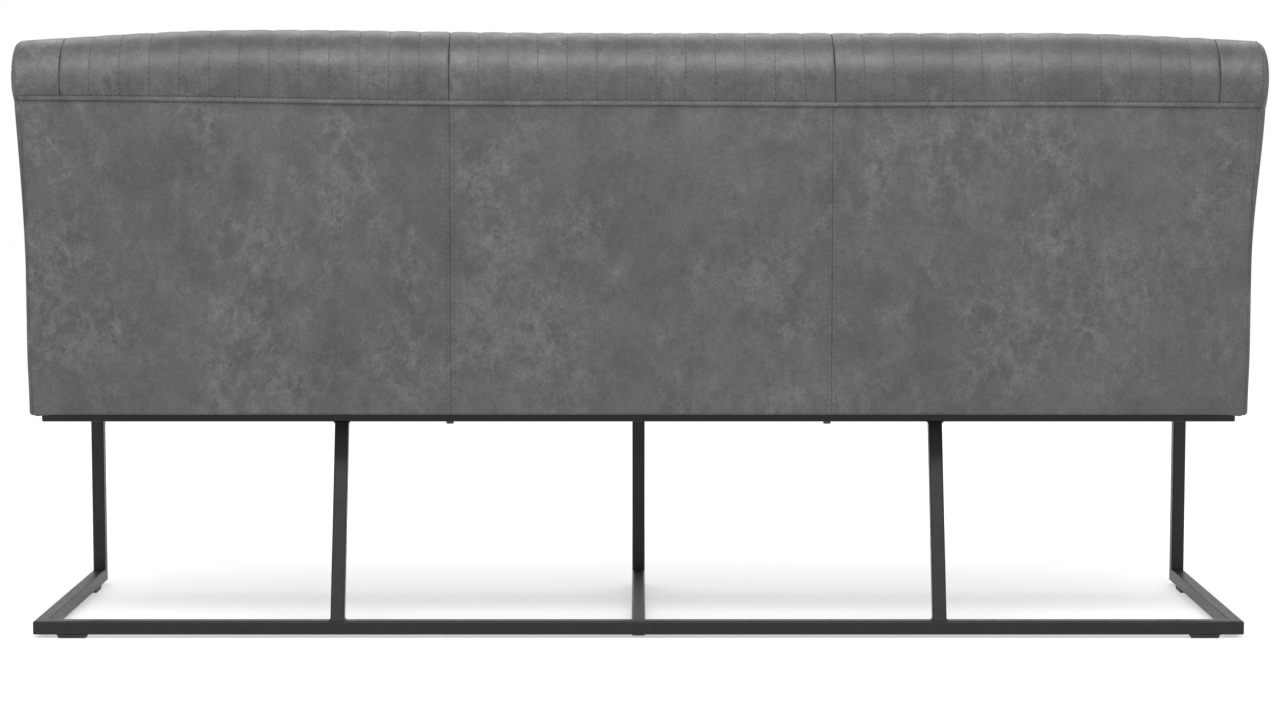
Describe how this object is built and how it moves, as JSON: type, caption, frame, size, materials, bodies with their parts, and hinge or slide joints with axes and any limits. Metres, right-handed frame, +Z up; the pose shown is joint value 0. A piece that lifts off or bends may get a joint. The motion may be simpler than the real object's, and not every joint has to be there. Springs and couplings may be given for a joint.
{
  "type": "dining bench",
  "caption": "Long upholstered dining bench with a channel-stitched padded back that rolls over at the top, on a welded frame of black square steel tube.",
  "frame": {"origin": "on the floor, under the middle of the bench's box", "axes": "+X along the bench, to the right as seen from the front; +Y to the rear; +Z up; the seat faces -Y"},
  "size_m": [1.8, 0.602, 0.874],
  "materials": {
    "black_steel": "fine-grained black powder coat",
    "grey_leatherette": "mottled vintage grey leatherette, satin",
    "foam": "open foam",
    "timber": "sawn, unfinished",
    "spring_steel": "oiled wire",
    "zinc_hardware": "zinc plated",
    "black_plastic": "moulded matt",
    "felt": "needled felt",
    "webbing": "woven elastic band",
    "dust_cloth": "spun black cloth"
  },
  "bodies": {
    "root": {"back_border_left": "grey_leatherette", "back_border_right": "grey_leatherette", "back_end_cap_left": "grey_leatherette", "back_end_cap_right": "grey_leatherette", "back_foam_left": "foam", "back_foam_middle": "foam", "back_foam_right": "foam", "back_mid_rails": "timber", "back_post_inner_left": "timber", "back_post_inner_right": "timber", "back_post_left": "timber", "back_post_right": "timber", "back_quilt_left": "grey_leatherette", "back_quilt_middle": "grey_leatherette", "back_quilt_right": "grey_leatherette", "back_top_rail": "timber", "back_webbing": "webbing", "dust_cover": "dust_cloth", "floor_rear_rail": "black_steel", "floor_runner_left": "black_steel", "floor_runner_middle": "black_steel", "floor_runner_right": "black_steel", "foot_glides": "black_plastic", "frame_bolts": "zinc_hardware", "frame_screws": "zinc_hardware", "front_leg_left": "black_steel", "front_leg_middle": "black_steel", "front_leg_right": "black_steel", "insert_nuts": "zinc_hardware", "rear_backing_board": "timber", "rear_panel_left": "grey_leatherette", "rear_panel_middle": "grey_leatherette", "rear_panel_right": "grey_leatherette", "rear_post_left": "black_steel", "rear_post_right": "black_steel", "seat_bar_left": "black_steel", "seat_bar_middle": "black_steel", "seat_bar_right": "black_steel", "seat_border_left": "grey_leatherette", "seat_border_right": "grey_leatherette", "seat_cover_left": "grey_leatherette", "seat_cover_middle": "grey_leatherette", "seat_cover_right": "grey_leatherette", "seat_cross_board_left": "timber", "seat_cross_board_right": "timber", "seat_end_board_left": "timber", "seat_end_board_right": "timber", "seat_foam_left": "foam", "seat_foam_middle": "foam", "seat_foam_right": "foam", "seat_front_board": "timber", "seat_rail_front": "black_steel", "seat_rail_rear": "black_steel", "seat_rear_board": "timber", "seat_side_cover_left": "grey_leatherette", "seat_side_cover_right": "grey_leatherette", "seat_springs": "spring_steel", "spring_clips": "spring_steel", "spring_felt": "felt", "weld_beads": "black_steel"}
  },
  "joints": []
}
